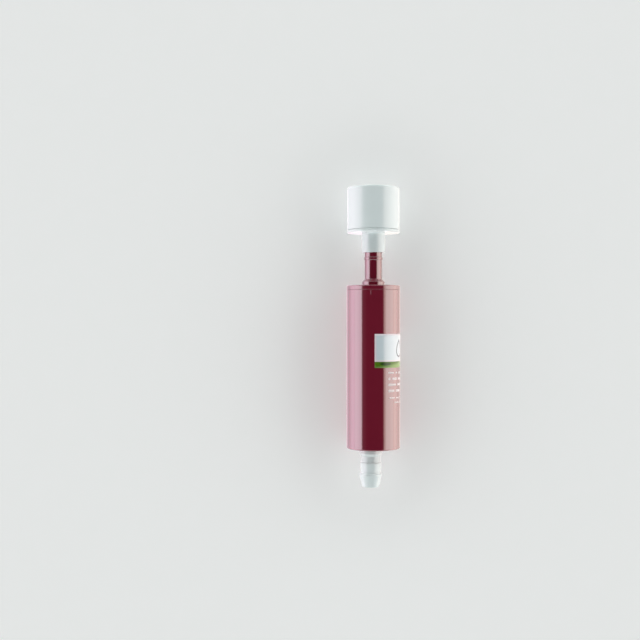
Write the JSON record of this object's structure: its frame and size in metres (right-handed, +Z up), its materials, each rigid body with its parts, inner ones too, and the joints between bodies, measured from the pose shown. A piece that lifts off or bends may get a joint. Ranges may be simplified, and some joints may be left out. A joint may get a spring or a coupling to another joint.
{
  "type": "submersible in-line pump",
  "caption": "Slim electric in-line bilge and transfer pump: glossy red cylinder with a push-on white inlet filter and a white ridged outlet tail.",
  "frame": {"origin": "middle of the overall length, on the surface that the casing lies on, under the pump's axis", "axes": "+X along the pump from the outlet tail to the filter, +Z up, the label's edge on top and its face towards -Y"},
  "size_m": [0.2114, 0.038, 0.038],
  "materials": {
    "red_plastic": "glossy moulded plastic, deep red",
    "white_plastic": "semi-gloss moulded plastic, white",
    "black_plastic": "matte glass-filled plastic, black",
    "grey_plastic": "satin acetal, grey",
    "net": "moulded nylon net, pale grey",
    "seal_rubber": "matte black rubber",
    "can_steel": "zinc-plated drawn steel",
    "shaft_steel": "ground stainless steel",
    "lamination": "varnished electrical steel laminations",
    "copper": "enamelled copper",
    "bronze": "sintered bronze",
    "carbon": "pressed carbon",
    "ferrite": "matte sintered ferrite",
    "lead_red": "insulated wire, red",
    "lead_black": "insulated wire, black"
  },
  "bodies": {
    "pump_body": {"outer_casing": "red_plastic", "inlet_cap": "red_plastic", "inlet_cap_seal": "seal_rubber", "outlet_tail": "white_plastic", "outlet_tail_seal": "seal_rubber", "motor_pod": "black_plastic", "cable_stem": "black_plastic", "stem_seal": "seal_rubber", "cable_gland": "seal_rubber", "pod_cover": "grey_plastic", "pod_cover_seal": "seal_rubber", "shaft_seal": "seal_rubber", "motor_can": "can_steel", "upper_magnet": "ferrite", "lower_magnet": "ferrite", "motor_end_bell": "black_plastic", "front_bush": "bronze", "rear_bush": "bronze", "positive_brush": "carbon", "negative_brush": "carbon", "positive_brush_arm": "copper", "negative_brush_arm": "copper", "positive_lead": "lead_red", "negative_lead": "lead_black"},
    "rotor": {"motor_shaft": "shaft_steel", "armature_core": "lamination", "armature_windings": "copper", "commutator": "copper", "shaft_spacer": "grey_plastic", "thrust_washer": "grey_plastic", "impeller": "grey_plastic"},
    "filter": {"filter_base": "white_plastic", "filter_cup": "white_plastic", "filter_screen": "net"}
  },
  "joints": [
    {"name": "rotor_spin", "type": "hinge", "parent": "pump_body", "child": "rotor", "pos_m": [0, 0, 0.019], "axis": [1, 0, 0], "continuous": true},
    {"name": "filter_pull", "type": "slide", "parent": "pump_body", "child": "filter", "axis": [1, 0, 0], "range_m": [0, 0.025]}
  ]
}
